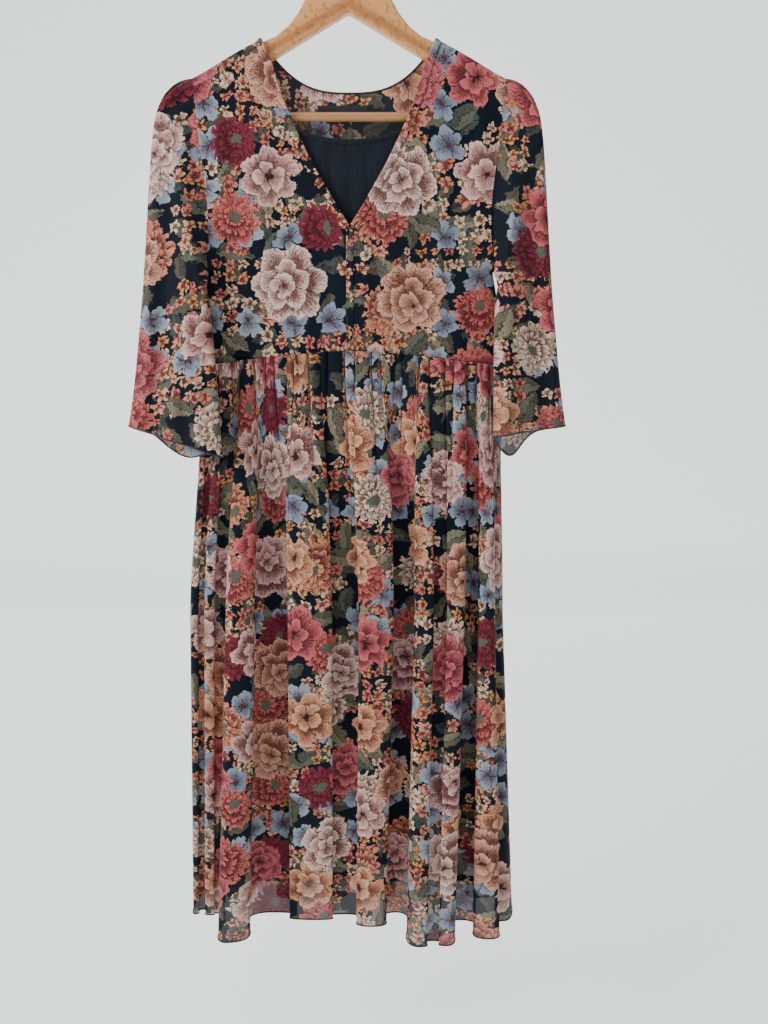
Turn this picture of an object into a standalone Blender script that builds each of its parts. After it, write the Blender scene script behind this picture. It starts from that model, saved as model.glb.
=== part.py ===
"""Printed chiffon dress hung on a flat wooden hanger.

Metres, +Z up, the dress front faces -Y. The origin is where a rail would touch
the inside top of the hanger's hook. Left and right are the wearer's own, so the
wearer's right is at -X. Every cloth piece is an open surface with a thin wall.
"""
import math
from collections import namedtuple

import bmesh
import bpy
from mathutils import Vector

for item in list(bpy.data.objects):
    bpy.data.objects.remove(item, do_unlink=True)

# Walls and gaps
DRESS_WALL = 0.0012
SLIP_WALL = 0.0010
TRIM_WALL = 0.0010
SEAM_GAP = 0.0003

# Hanger
HANGER_THICKNESS = 0.0134
HANGER_EDGE_ROUND = 0.0028
BAR_DIAMETER = 0.0108
BAR_HEIGHT = -0.2253
HOOK_WIRE = 0.0036
HOOK_INNER_RADIUS = 0.019

# Heights of the dress
NECK_POINT_X = 0.1060
SHOULDER_X = 0.192
V_POINT_Z = -0.3575
UNDERARM_Z = -0.4105
WAIST_CENTRE_Z = -0.511
WAIST_SIDE_DROP = 0.0175
HEM_Z = -1.3245
BACK_NECK_Z = -0.1960
SLIP_SCOOP_Z = -0.2535
SLIP_BACK_SCOOP_Z = -0.300
SLIP_HEM_Z = -1.275

# Depth of the body of the dress, from the middle plane to the cloth's middle
SHOULDER_DEPTH = 0.0100
WAIST_DEPTH = 0.0200
SLIP_SHOULDER_DEPTH = 0.0075
SLIP_HEM_DEPTH = 0.0125
SHOULDER_WRAP = 0.007
ARMHOLE_CURVE = 0.045

Spot = namedtuple("Spot", "x z")

# Top line of the shoulder seam, from the neck outwards
SHOULDER_LINE = [
    Spot(0.1060, -0.1385),
    Spot(0.1270, -0.1485),
    Spot(0.1500, -0.1605),
    Spot(0.1750, -0.1745),
    Spot(0.1920, -0.1830),
]

# Front opening, from the V point up to the neck point
V_EDGE = [
    Spot(0.0000, -0.3575),
    Spot(0.0165, -0.3320),
    Spot(0.0315, -0.3065),
    Spot(0.0455, -0.2825),
    Spot(0.0580, -0.2585),
    Spot(0.0690, -0.2350),
    Spot(0.0785, -0.2125),
    Spot(0.0865, -0.1900),
    Spot(0.0940, -0.1655),
    Spot(0.1060, -0.1385),
]

# Outer edge of the bodice: armhole down to the underarm, then the side seam
BODICE_EDGE = [
    Spot(0.1920, -0.1830),
    Spot(0.1885, -0.2450),
    Spot(0.1820, -0.2900),
    Spot(0.1780, -0.3300),
    Spot(0.1780, -0.3700),
    Spot(0.1830, -0.4105),
    Spot(0.1900, -0.4500),
    Spot(0.1970, -0.5285),
]

# Outer edge of the slip, from its strap to its hem
SLIP_EDGE = [
    Spot(0.1640, -0.1685),
    Spot(0.1560, -0.2600),
    Spot(0.1560, -0.3300),
    Spot(0.1660, -0.4200),
    Spot(0.1720, -0.5200),
    Spot(0.1840, -0.8500),
    Spot(0.2000, -1.2750),
]


def blend(first, second, share):
    return first + (second - first) * share


def through(knots, values, place):
    """Smooth curve through values given at rising or falling knots."""
    if knots[0] > knots[-1]:
        knots = [-knot for knot in knots]
        place = -place
    place = min(max(place, knots[0]), knots[-1])
    last = len(knots) - 2
    index = 0
    while index < last and place > knots[index + 1]:
        index += 1
    low = max(index - 1, 0)
    high = min(index + 2, last + 1)
    span = knots[index + 1] - knots[index]
    share = (place - knots[index]) / span
    start_slope = (values[index + 1] - values[low]) / (knots[index + 1] - knots[low]) * span
    end_slope = (values[high] - values[index]) / (knots[high] - knots[index]) * span
    square = share * share
    cube = square * share
    return (
        (2 * cube - 3 * square + 1) * values[index]
        + (cube - 2 * square + share) * start_slope
        + (3 * square - 2 * cube) * values[index + 1]
        + (cube - square) * end_slope
    )


def ease(share):
    share = min(max(share, 0.0), 1.0)
    return share * share * (3 - 2 * share)


def round_off(share):
    """0 at an edge, 1 a little inside it, with a full round corner between."""
    share = min(max(share, 0.0), 1.0)
    return (1 - (1 - share) ** 4) ** 0.25


def height_at(line, x):
    return through([spot.x for spot in line], [spot.z for spot in line], abs(x))


def edge_at(line, z):
    return through([spot.z for spot in line], [spot.x for spot in line], z)


def waist_height(x):
    return WAIST_CENTRE_Z - WAIST_SIDE_DROP * (abs(x) / 0.18) ** 1.4


collection = bpy.data.collections.new("chiffon_dress_on_hanger")
bpy.context.scene.collection.children.link(collection)


def plain_material(name, colour, roughness, metallic=0.0):
    material = bpy.data.materials.new(name)
    material.use_nodes = True
    shader = material.node_tree.nodes["Principled BSDF"]
    shader.inputs["Base Color"].default_value = (*colour, 1.0)
    shader.inputs["Roughness"].default_value = roughness
    shader.inputs["Metallic"].default_value = metallic
    return material


CHIFFON = (0.130, 0.085, 0.078)
SLIP_NAVY = (0.012, 0.017, 0.026)
BINDING_NAVY = (0.018, 0.018, 0.026)
WOOD = (0.560, 0.330, 0.170)
STEEL = (0.620, 0.620, 0.640)


def add_object(name, mesh, colour, roughness, metallic=0.0):
    piece = bpy.data.objects.new(name, mesh)
    piece.data.materials.append(plain_material(name + "_finish", colour, roughness, metallic))
    collection.objects.link(piece)
    return piece


def cloth_piece(name, rows, wall, colour, closed_rows=False):
    """A grid of points, each row a list of Vectors, turned into a thin wall."""
    count = len(rows[0])
    vertices = [point for row in rows for point in row]
    faces = []
    steps = count if closed_rows else count - 1
    for row in range(len(rows) - 1):
        for step in range(steps):
            following = (step + 1) % count
            faces.append((
                row * count + step,
                (row + 1) * count + step,
                (row + 1) * count + following,
                row * count + following,
            ))
    mesh = bpy.data.meshes.new(name)
    mesh.from_pydata(vertices, [], faces)
    mesh.shade_smooth()
    piece = add_object(name, mesh, colour, 0.85)
    solidify = piece.modifiers.new("wall", "SOLIDIFY")
    solidify.thickness = wall
    solidify.offset = 0.0
    return piece


# Wooden hanger
HangerSpot = namedtuple("HangerSpot", "x z")
HANGER_CROWN = [
    HangerSpot(0.0000, -0.0575),
    HangerSpot(0.0130, -0.0585),
    HangerSpot(0.0255, -0.0630),
    HangerSpot(0.0365, -0.0715),
    HangerSpot(0.0460, -0.0835),
    HangerSpot(0.0535, -0.0960),
    HangerSpot(0.0610, -0.1085),
    HangerSpot(0.0735, -0.1235),
    HangerSpot(0.0890, -0.1350),
]
HANGER_TIP = [
    HangerSpot(0.2090, -0.2005),
    HangerSpot(0.2170, -0.2070),
    HangerSpot(0.2205, -0.2150),
    HangerSpot(0.2205, -0.2267),
    HangerSpot(0.2170, -0.2327),
    HangerSpot(0.1985, -0.2327),
]
HANGER_UNDERSIDE = [
    HangerSpot(0.1985, -0.2170),
    HangerSpot(0.1600, -0.1965),
    HangerSpot(0.1200, -0.1750),
    HangerSpot(0.0885, -0.1578),
    HangerSpot(0.0550, -0.1392),
    HangerSpot(0.0250, -0.1225),
    HangerSpot(0.0000, -0.1085),
]
SHOULDER_TO_WOOD = DRESS_WALL / 2 + SEAM_GAP + SLIP_WALL + 5 * SEAM_GAP


def hanger_outline():
    """Right half from the crown out to the arm's end and back, then its mirror."""
    half = list(HANGER_CROWN)
    arm_places = 9
    for step in range(arm_places):
        x = blend(NECK_POINT_X, SHOULDER_X, step / (arm_places - 1))
        half.append(HangerSpot(x, height_at(SHOULDER_LINE, x) - SHOULDER_TO_WOOD))
    half += HANGER_TIP
    half += HANGER_UNDERSIDE
    mirrored = [HangerSpot(-spot.x, spot.z) for spot in half[-2:0:-1]]
    return half + mirrored


def build_hanger():
    shape = bmesh.new()
    corners = [
        shape.verts.new((spot.x, -HANGER_THICKNESS / 2, spot.z)) for spot in hanger_outline()
    ]
    front = shape.faces.new(corners)
    made = bmesh.ops.extrude_face_region(shape, geom=[front])
    moved = [part for part in made["geom"] if isinstance(part, bmesh.types.BMVert)]
    bmesh.ops.translate(shape, verts=moved, vec=(0, HANGER_THICKNESS, 0))
    bmesh.ops.recalc_face_normals(shape, faces=shape.faces)
    mesh = bpy.data.meshes.new("hanger_body")
    shape.to_mesh(mesh)
    shape.free()
    body = add_object("hanger_body", mesh, WOOD, 0.4)
    bevel = body.modifiers.new("rounded edges", "BEVEL")
    bevel.width = HANGER_EDGE_ROUND
    bevel.segments = 2
    bevel.limit_method = "ANGLE"
    bevel.angle_limit = math.radians(50)

    bar_length = 2 * (HANGER_TIP[-1].x - SEAM_GAP)
    bpy.ops.mesh.primitive_cylinder_add(
        vertices=20,
        radius=BAR_DIAMETER / 2,
        depth=bar_length,
        location=(0, 0, BAR_HEIGHT),
        rotation=(0, math.pi / 2, 0),
    )
    bar = bpy.context.object
    bar.name = "hanger_bar"
    bar.data.materials.append(plain_material("hanger_bar_finish", WOOD, 0.4))
    bar.data.shade_smooth()
    bar.data.set_sharp_from_angle(angle=math.radians(40))
    for holder in list(bar.users_collection):
        holder.objects.unlink(bar)
    collection.objects.link(bar)


def hook_route():
    """Stem up out of the crown, a lean to the side, then most of a ring."""
    ring = HOOK_INNER_RADIUS + HOOK_WIRE / 2
    centre_z = -HOOK_INNER_RADIUS
    stem = [(0.0, HANGER_CROWN[0].z + SEAM_GAP), (0.0, -0.0520), (0.0025, -0.0470), (0.0085, -0.0420)]
    first_angle = math.radians(-42)
    last_angle = math.radians(205)
    ring_steps = 22
    turn = [
        (
            ring * math.cos(blend(first_angle, last_angle, step / ring_steps)),
            centre_z + ring * math.sin(blend(first_angle, last_angle, step / ring_steps)),
        )
        for step in range(ring_steps + 1)
    ]
    return stem + turn


def build_hook():
    route = hook_route()
    curve = bpy.data.curves.new("hanger_hook", "CURVE")
    curve.dimensions = "3D"
    curve.bevel_depth = HOOK_WIRE / 2
    curve.bevel_resolution = 2
    curve.use_fill_caps = True
    line = curve.splines.new("POLY")
    line.points.add(len(route) - 1)
    for point, (x, z) in zip(line.points, route):
        point.co = (x, 0.0, z, 1.0)
    curve.materials.append(plain_material("hanger_hook_finish", STEEL, 0.25, 1.0))
    hook = bpy.data.objects.new("hanger_hook", curve)
    collection.objects.link(hook)


# Bodice panels
ROW_DROPS = [0.0, 0.0006, 0.0025, 0.0080]
ROW_SHARES = [0.09, 0.18, 0.30, 0.42, 0.54, 0.597, 0.651, 0.76, 0.88, 1.0]
NECK_COLUMN_SHARES = [0.945, 0.985, 1.0, 1.015]
SHOULDER_COLUMN_SHARES = [0.64, 0.74, 0.84, 0.90, 0.96, 0.985, 0.997, 1.0]


def body_depth(z):
    """How far the bodice stands from the middle plane, more towards the waist."""
    return blend(SHOULDER_DEPTH, WAIST_DEPTH, ease((-0.20 - z) / 0.30))


def open_edge(z, closed_z):
    """1 where the outer edge is an open armhole, 0 from the underarm down."""
    return round_off((z - closed_z) / ARMHOLE_CURVE)


def soft_drape(x, z):
    """Shallow hollows that the hung bodice falls into, none at its edges."""
    fade = ease((-0.23 - z) / 0.10) * ease((z + 0.52) / 0.06)
    return 0.0022 * fade * math.cos(46 * x + 9 * z) * math.cos(20 * x)


def bodice_point(across, z, top_z, facing, wrap=True):
    """across is the nominal place from the centre line; facing -1 is the front."""
    edge = edge_at(BODICE_EDGE, z)
    nominal = abs(across) / SHOULDER_X
    x = abs(across) + (edge - SHOULDER_X) * nominal ** 3
    depth = body_depth(z) - soft_drape(across, z)
    closing = 1 - open_edge(z, UNDERARM_Z)
    depth *= 1 - closing * (1 - round_off(1 - min(x / edge, 1.0)))
    if wrap:
        over_shoulder = ease((abs(across) / NECK_POINT_X - 1) / 0.015)
        depth *= 1 - over_shoulder * (1 - round_off((top_z - z) / SHOULDER_WRAP))
    depth = max(depth, SEAM_GAP / 2)
    return Vector((math.copysign(x, across) if across else 0.0, facing * depth, z))


def panel_heights(top_z, low_z):
    heights = [top_z - drop for drop in ROW_DROPS]
    start = heights[-1]
    return heights + [blend(start, low_z, share) for share in ROW_SHARES]


def front_top(x):
    if abs(x) <= NECK_POINT_X:
        return height_at(V_EDGE, x)
    return height_at(SHOULDER_LINE, x)


def back_top(x):
    if abs(x) <= NECK_POINT_X:
        return blend(BACK_NECK_Z, SHOULDER_LINE[0].z, (abs(x) / NECK_POINT_X) ** 2.8)
    return height_at(SHOULDER_LINE, x)


def outward_places(first):
    """Columns from the first place to the outer edge, closer at the neck point and there."""
    inner_steps = 5
    last_inner = NECK_POINT_X * 0.84
    inner = [blend(first, last_inner, step / inner_steps) for step in range(inner_steps + 1)]
    neck = [NECK_POINT_X * share for share in NECK_COLUMN_SHARES]
    return inner + neck + [SHOULDER_X * share for share in SHOULDER_COLUMN_SHARES]


def rows_of(columns):
    return [[column[row] for column in columns] for row in range(len(columns[0]))]


def front_columns(places, side):
    columns = []
    for place in places:
        across = side * place
        top_z = front_top(place)
        low_z = waist_height(place) + SEAM_GAP / 2
        column = [bodice_point(across, z, top_z, -1) for z in panel_heights(top_z, low_z)]
        columns.append(column)
    return columns


PLACKET_WIDTH = 0.0090


def build_bodice():
    right_places = outward_places(PLACKET_WIDTH / 2 + SEAM_GAP)
    right_columns = front_columns(right_places, -1)
    cloth_piece("bodice_front_right", rows_of(right_columns), DRESS_WALL, CHIFFON)

    left_places = outward_places(PLACKET_WIDTH / 2)
    left_columns = [front_columns([PLACKET_WIDTH / 2], -1)[0]] + front_columns(left_places, 1)
    cloth_piece("bodice_front_left", rows_of(left_columns[::-1]), DRESS_WALL, CHIFFON)

    back_places = outward_places(0.0)
    signed = [-place for place in back_places[:0:-1]] + back_places
    columns = []
    for across in signed:
        top_z = back_top(across)
        low_z = waist_height(across) + SEAM_GAP / 2
        columns.append([bodice_point(across, z, top_z, 1) for z in panel_heights(top_z, low_z)])
    cloth_piece("bodice_back", rows_of(columns[::-1]), DRESS_WALL, CHIFFON)


# Neck bands, placket, binding and label, all made from the panels' own points
BAND_WIDTH = 0.0090
LABEL_LEFT_X = -0.040
LABEL_RIGHT_X = 0.022
LABEL_TOP_Z = -0.2095
LABEL_LOW_Z = -0.2235
LABEL_WALL = 0.0008
LAP = DRESS_WALL / 2 + 2.5 * SEAM_GAP + TRIM_WALL / 2


def front_surface(across, z):
    return bodice_point(across, z, front_top(across), -1)


def moved_out(across, z, distance):
    """A point on the front, moved out along the cloth's own normal."""
    step = 0.0005
    here = front_surface(across, z)
    side = front_surface(across + step, z) - here
    down = front_surface(across, z - step) - here
    normal = side.cross(down).normalized()
    if normal.y > 0:
        normal.negate()
    return here + normal * distance


def band_rows(side, first_z, last_z, steps, lift, width):
    """Strip along the V edge: one row for each step, from its edge outwards."""
    rows = []
    for step in range(steps + 1):
        z = blend(first_z, last_z, step / steps)
        edge_x = edge_at(V_EDGE[::-1], z)
        slope_x = edge_at(V_EDGE[::-1], z + 0.004) - edge_at(V_EDGE[::-1], z - 0.004)
        along = Vector((slope_x, 0.008)).normalized()
        outer_x = edge_x + along.y * width
        outer_z = z - along.x * width
        rows.append([
            moved_out(side * max(edge_x, 0.0006), z, lift),
            moved_out(side * outer_x, outer_z, lift),
        ])
    return rows


def build_trim():
    shoulder_end = SHOULDER_LINE[0].z - 0.0105
    left_rows = band_rows(1, shoulder_end, V_POINT_Z + 0.004, 13, LAP, BAND_WIDTH)
    cloth_piece("neck_band_left", left_rows, TRIM_WALL, CHIFFON)
    right_rows = band_rows(-1, shoulder_end, V_POINT_Z + 0.002, 13, LAP, BAND_WIDTH)
    cloth_piece("neck_band_right", [row[::-1] for row in right_rows], TRIM_WALL, CHIFFON)

    placket_top = V_POINT_Z - 0.0055
    placket_rows = []
    placket_steps = 5
    for step in range(placket_steps + 1):
        z = blend(placket_top, waist_height(0) + SEAM_GAP, step / placket_steps)
        half = PLACKET_WIDTH / 2
        placket_rows.append([moved_out(x, z, LAP) for x in (-half, half)])
    cloth_piece("front_placket", placket_rows, TRIM_WALL, CHIFFON)

    binding_radius = 0.0011
    curve = bpy.data.curves.new("back_neck_binding", "CURVE")
    curve.dimensions = "3D"
    curve.bevel_depth = binding_radius
    curve.bevel_resolution = 1
    curve.use_fill_caps = True
    line = curve.splines.new("POLY")
    places = [place for place in outward_places(0.0) if place < NECK_POINT_X * 0.99]
    places = [-place for place in places[:0:-1]] + places
    line.points.add(len(places) - 1)
    for x, point in zip(places, line.points):
        slope = (back_top(x + 0.001) - back_top(x - 0.001)) / 0.002
        away = Vector((-slope, 1.0)).normalized() * (binding_radius + 2 * SEAM_GAP)
        z = back_top(x)
        y = bodice_point(x, z, z, 1, wrap=False).y
        point.co = (x + away.x, y, z + away.y, 1.0)
    curve.materials.append(plain_material("back_neck_binding_finish", BINDING_NAVY, 0.8))
    binding = bpy.data.objects.new("back_neck_binding", curve)
    collection.objects.link(binding)

    label_rows = []
    for z in (LABEL_TOP_Z, LABEL_LOW_Z):
        row = []
        for x in (LABEL_LEFT_X, blend(LABEL_LEFT_X, LABEL_RIGHT_X, 0.5), LABEL_RIGHT_X):
            surface = bodice_point(x, z, 0.0, 1, wrap=False)
            inward = DRESS_WALL / 2 + SEAM_GAP + LABEL_WALL / 2
            row.append(surface - Vector((0, inward, 0)))
        label_rows.append(row)
    cloth_piece("neck_label", label_rows, LABEL_WALL, BINDING_NAVY)


# Slip, a plain shift of dark lining inside the dress
SLIP_STRAP_X = 0.1640
SLIP_UNDERARM_Z = -0.4200
SLIP_NECK_X = 0.1170
SCOOP_BEND = 2.6
SLIP_DROPS = [0.0, 0.0006, 0.0025, 0.0080]
SLIP_SHARES = [0.10, 0.20, 0.32, 0.50, 0.75, 1.0]
SLIP_NECK_SHARES = [0.95, 1.0, 1.013]
SLIP_EDGE_SHARES = [0.82, 0.93, 0.985, 1.0]
SLIP_TOP_OFFSET = DRESS_WALL / 2 + 3 * SEAM_GAP + SLIP_WALL / 2


def slip_top(x, scoop_z):
    """Shallow scoop between the straps, which run up to the shoulder seams."""
    if abs(x) > SLIP_NECK_X * 1.001:
        return height_at(SHOULDER_LINE, x) - SLIP_TOP_OFFSET
    shoulder = height_at(SHOULDER_LINE, SLIP_NECK_X) - SLIP_TOP_OFFSET - SLIP_WALL
    scoop = scoop_z + SCOOP_BEND * x * x
    rise = shoulder - (scoop_z + SCOOP_BEND * SLIP_NECK_X * SLIP_NECK_X)
    return scoop + rise * (abs(x) / SLIP_NECK_X) ** 12


def slip_point(across, z, top_z, facing):
    edge = edge_at(SLIP_EDGE, z)
    nominal = abs(across) / SLIP_STRAP_X
    x = abs(across) + (edge - SLIP_STRAP_X) * nominal ** 2
    depth = blend(SLIP_SHOULDER_DEPTH, SLIP_HEM_DEPTH, ease((-0.22 - z) / 0.50))
    closing = 1 - open_edge(z, SLIP_UNDERARM_Z)
    depth *= 1 - closing * (1 - round_off(1 - min(x / edge, 1.0)))
    over_shoulder = ease((abs(across) / SLIP_NECK_X - 1) / 0.013)
    depth *= 1 - over_shoulder * (1 - round_off((top_z - z) / SHOULDER_WRAP))
    depth = max(depth, SEAM_GAP)
    return Vector((math.copysign(x, across) if across else 0.0, facing * depth, z))


def build_slip():
    inner_steps = 5
    inner = [SLIP_NECK_X * 0.86 * step / inner_steps for step in range(inner_steps + 1)]
    neck = [SLIP_NECK_X * share for share in SLIP_NECK_SHARES]
    places = inner + neck + [SLIP_STRAP_X * share for share in SLIP_EDGE_SHARES]
    signed = [-place for place in places[:0:-1]] + places
    for name, facing, scoop_z in (
        ("slip_front", -1, SLIP_SCOOP_Z),
        ("slip_back", 1, SLIP_BACK_SCOOP_Z),
    ):
        columns = []
        for across in signed:
            top_z = slip_top(across, scoop_z)
            heights = [top_z - drop for drop in SLIP_DROPS]
            start = heights[-1]
            heights += [blend(start, SLIP_HEM_Z, share) for share in SLIP_SHARES]
            columns.append([slip_point(across, z, top_z, facing) for z in heights])
        if facing > 0:
            columns.reverse()
        cloth_piece(name, rows_of(columns), SLIP_WALL, SLIP_NAVY)


# Sleeves: rings from the armhole to the open hem. Each ring is a flat loop between
# an outer point and an inner point, its two layers a little apart.
Ring = namedtuple("Ring", "outer_x outer_z outer_y inner_x inner_z inner_y half_depth freedom")
SLEEVE_RINGS = [
    Ring(0.1925, -0.1830, 0.000, 0.1838, -0.4110, 0.000, 0.010, 0.00),
    Ring(0.2040, -0.1850, 0.000, 0.1895, -0.4190, -0.004, 0.012, 0.10),
    Ring(0.2170, -0.1920, -0.001, 0.1900, -0.4310, -0.018, 0.018, 0.30),
    Ring(0.2305, -0.2055, -0.001, 0.1830, -0.4470, -0.0275, 0.019, 0.52),
    Ring(0.2400, -0.2260, -0.002, 0.1760, -0.4680, -0.033, 0.018, 0.74),
    Ring(0.2460, -0.2600, -0.005, 0.1730, -0.4940, -0.037, 0.015, 0.90),
    Ring(0.2510, -0.3080, -0.008, 0.1705, -0.5210, -0.041, 0.014, 1.00),
    Ring(0.2565, -0.3660, -0.012, 0.1685, -0.5490, -0.045, 0.013, 1.00),
    Ring(0.2625, -0.4300, -0.017, 0.1665, -0.5770, -0.049, 0.013, 1.00),
    Ring(0.2700, -0.4950, -0.022, 0.1650, -0.6030, -0.052, 0.013, 1.00),
    Ring(0.2780, -0.5550, -0.026, 0.1635, -0.6260, -0.054, 0.013, 1.00),
    Ring(0.2865, -0.6060, -0.030, 0.1620, -0.6440, -0.056, 0.013, 1.00),
]
Sleeve = namedtuple("Sleeve", "name side inner_shift outer_shift inner_lift back_drop drop_place")
SLEEVES = [
    Sleeve("sleeve_right", -1, 0.000, 0.000, 0.000, 0.020, 0.55),
    Sleeve("sleeve_left", 1, 0.020, -0.009, 0.026, 0.034, 0.78),
]
SLEEVE_STEPS = 32
UNDERARM_ROOM = 0.0016
HEAD_GATHERS = 9
HEAD_GATHER_DEPTH = 0.0016
SLEEVE_FOLD_DEPTH = 0.0042
SLEEVE_FOLDS = 2.5
HEAD_RINGS = 2
HEAD_LEAN = 2.0
HANG_LEAN = 1.4


def armhole_offset(share, layer, on_seam):
    """How the armhole departs from the straight line between its two ends."""
    first = SLEEVE_RINGS[0]
    z = blend(first.outer_z, first.inner_z, share)
    straight_x = blend(first.outer_x, first.inner_x, share)
    edge_x = edge_at(BODICE_EDGE, z) + 3 * SEAM_GAP + UNDERARM_ROOM * share ** 6
    top_z = SHOULDER_LINE[-1].z
    depth = body_depth(z) * round_off((top_z - z) / SHOULDER_WRAP)
    depth *= open_edge(z, first.inner_z)
    if not on_seam:
        depth *= 1 - share ** 4
    return Vector((edge_x - straight_x, layer * depth, 0.0))


def sleeve_rows(sleeve):
    rows = []
    last = len(SLEEVE_RINGS) - 1
    for index, ring in enumerate(SLEEVE_RINGS):
        down = index / last
        row = []
        for step in range(SLEEVE_STEPS):
            angle = 2 * math.pi * step / SLEEVE_STEPS
            share = (1 - math.cos(angle)) / 2
            layer = -1 if math.sin(angle) >= 0 else 1
            width = abs(math.sin(angle))
            outer = Vector((ring.outer_x + sleeve.outer_shift * down, ring.outer_y, ring.outer_z))
            inner = Vector((
                ring.inner_x + sleeve.inner_shift * down,
                ring.inner_y,
                ring.inner_z + sleeve.inner_lift * down,
            ))
            point = outer.lerp(inner, share)
            lean = HEAD_LEAN if index <= HEAD_RINGS else HANG_LEAN
            point.y = blend(ring.outer_y, ring.inner_y, share ** lean)
            free = Vector((0.0, layer * ring.half_depth * width ** 0.6, 0.0))
            seam = armhole_offset(share, layer, index == 0)
            point += seam * (1 - ring.freedom) + free * ring.freedom
            gathers = math.sin(2 * HEAD_GATHERS * angle) * ease((0.45 - share) / 0.3)
            near_head = ease(1 - abs(index - 2) / 2.2)
            point.y += layer * HEAD_GATHER_DEPTH * gathers * near_head
            fold = math.cos(2 * math.pi * SLEEVE_FOLDS * share + 0.8 * layer)
            point.y -= SLEEVE_FOLD_DEPTH * fold * width * ease((down - 0.45) / 0.5)
            if layer > 0:
                drop = math.exp(-((share - sleeve.drop_place) / 0.26) ** 2)
                point.z -= sleeve.back_drop * drop * width * ease((down - 0.6) / 0.4)
            point.x *= sleeve.side
            row.append(point)
        rows.append(row)
    return rows


def build_sleeves():
    for sleeve in SLEEVES:
        rows = sleeve_rows(sleeve)
        if sleeve.side > 0:
            rows = [row[::-1] for row in rows]
        cloth_piece(sleeve.name, rows, DRESS_WALL, CHIFFON, closed_rows=True)


# Skirt: each row of the table is the crest of a fold or the bottom of the hollow
# beside it, at the waist, at the middle and at the hem, in millimetres.
Fold = namedtuple("Fold", "x_waist x_middle x_hem y_waist y_middle y_hem")
FRONT_FOLDS = [
    Fold(-197, -225, -241, -0.3, -0.3, -0.3),
    Fold(-190, -217, -236, -20, -24, -18),
    Fold(-182, -205, -226, -18, -17, -8),
    Fold(-172, -193, -214, -21, -36, -20),
    Fold(-160, -179, -202, -18, -24, -16),
    Fold(-133, -152, -179, -22, -58, -76),
    Fold(-106, -112, -124, -18, -19, -14),
    Fold(-60, -50, -56, -22, -52, -30),
    Fold(-14, -8, -14, -18, -24, -18),
    Fold(22, 34, 26, -22, -55, -44),
    Fold(72, 73, 62, -17, -19, -14),
    Fold(93, 97, 92, -22, -60, -84),
    Fold(115, 118, 112, -19, -44, -72),
    Fold(137, 138, 130, -22, -54, -82),
    Fold(160, 160, 153, -18, -22, -30),
    Fold(178, 181, 192, -21, -48, -69),
    Fold(190, 200, 219, -17, -18, -32),
    Fold(197, 208, 234, -0.3, -0.3, -0.3),
]
BACK_FOLDS = [
    Fold(197, 208, 234, 0.3, 0.3, 0.3),
    Fold(186, 196, 216, 20, 34, 44),
    Fold(168, 176, 190, 18, 20, 18),
    Fold(140, 146, 152, 22, 54, 70),
    Fold(112, 112, 110, 18, 20, 18),
    Fold(84, 82, 76, 22, 50, 60),
    Fold(52, 48, 40, 18, 20, 17),
    Fold(20, 14, 4, 22, 56, 76),
    Fold(-12, -20, -32, 18, 21, 18),
    Fold(-46, -54, -66, 22, 50, 62),
    Fold(-80, -90, -100, 18, 20, 17),
    Fold(-112, -124, -138, 22, 55, 72),
    Fold(-144, -158, -176, 18, 20, 18),
    Fold(-172, -192, -212, 21, 40, 46),
    Fold(-197, -225, -241, 0.3, 0.3, 0.3),
]
SKIRT_DROPS = [0.0, 0.012, 0.030, 0.060, 0.105, 0.170, 0.260, 0.370, 0.490, 0.610, 0.720, 0.8135]
FRONT_FOLD_STEPS = 5
BACK_FOLD_STEPS = 4
MIDDLE_DROP = 0.340
GATHER_DEPTH = 0.0026
GATHER_FADE = 0.055
OVERHANG_AT_WAIST = 0.35
OVERHANG_BELOW = 1.12
SKIRT_LENGTH = WAIST_CENTRE_Z - HEM_Z


def station(waist, middle, hem, drop):
    """Waist to middle to hem, leaving the waist straight down."""
    if drop < MIDDLE_DROP:
        return blend(waist, middle, ease(0.86 * drop / MIDDLE_DROP) / ease(0.86))
    return blend(middle, hem, (drop - MIDDLE_DROP) / (SKIRT_LENGTH - MIDDLE_DROP))


def skirt_row(folds, fold_steps, drop):
    facing = -1 if folds[1].y_hem < 0 else 1
    millimetre = 0.001
    overhang = blend(OVERHANG_AT_WAIST, OVERHANG_BELOW, ease(drop / 0.20))
    row = []
    count = (len(folds) - 1) * fold_steps
    for step in range(count + 1):
        index = min(step // fold_steps, len(folds) - 2)
        share = step / fold_steps - index
        first = folds[index]
        second = folds[index + 1]
        if index == 0:
            lean = 1 - math.cos(math.pi * share / 2)
            swing = math.sin(math.pi * share / 2)
        elif index == len(folds) - 2:
            lean = math.sin(math.pi * share / 2)
            swing = 1 - math.cos(math.pi * share / 2)
        else:
            lean = share + overhang * math.sin(2 * math.pi * share) / (2 * math.pi)
            swing = (1 - math.cos(math.pi * share)) / 2
        first_x = station(first.x_waist, first.x_middle, first.x_hem, drop)
        second_x = station(second.x_waist, second.x_middle, second.x_hem, drop)
        first_y = station(first.y_waist, first.y_middle, first.y_hem, drop)
        second_y = station(second.y_waist, second.y_middle, second.y_hem, drop)
        across = blend(first_x, second_x, lean)
        out = blend(first_y, second_y, swing)
        x = across * millimetre
        y = out * millimetre
        seam_fade = ease(min(step, count - step) / 3)
        gather = math.cos(math.pi * step / 2 + 0.6) * math.exp(-(drop / GATHER_FADE) ** 2)
        y += facing * GATHER_DEPTH * gather * seam_fade
        top_z = waist_height(x) - SEAM_GAP / 2
        z = blend(top_z, HEM_Z, drop / SKIRT_LENGTH)
        row.append(Vector((x, y, z)))
    return row


def build_skirt():
    for name, folds, fold_steps in (
        ("skirt_front", FRONT_FOLDS, FRONT_FOLD_STEPS),
        ("skirt_back", BACK_FOLDS, BACK_FOLD_STEPS),
    ):
        rows = [skirt_row(folds, fold_steps, drop) for drop in SKIRT_DROPS]
        cloth_piece(name, rows, DRESS_WALL, CHIFFON)


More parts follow.
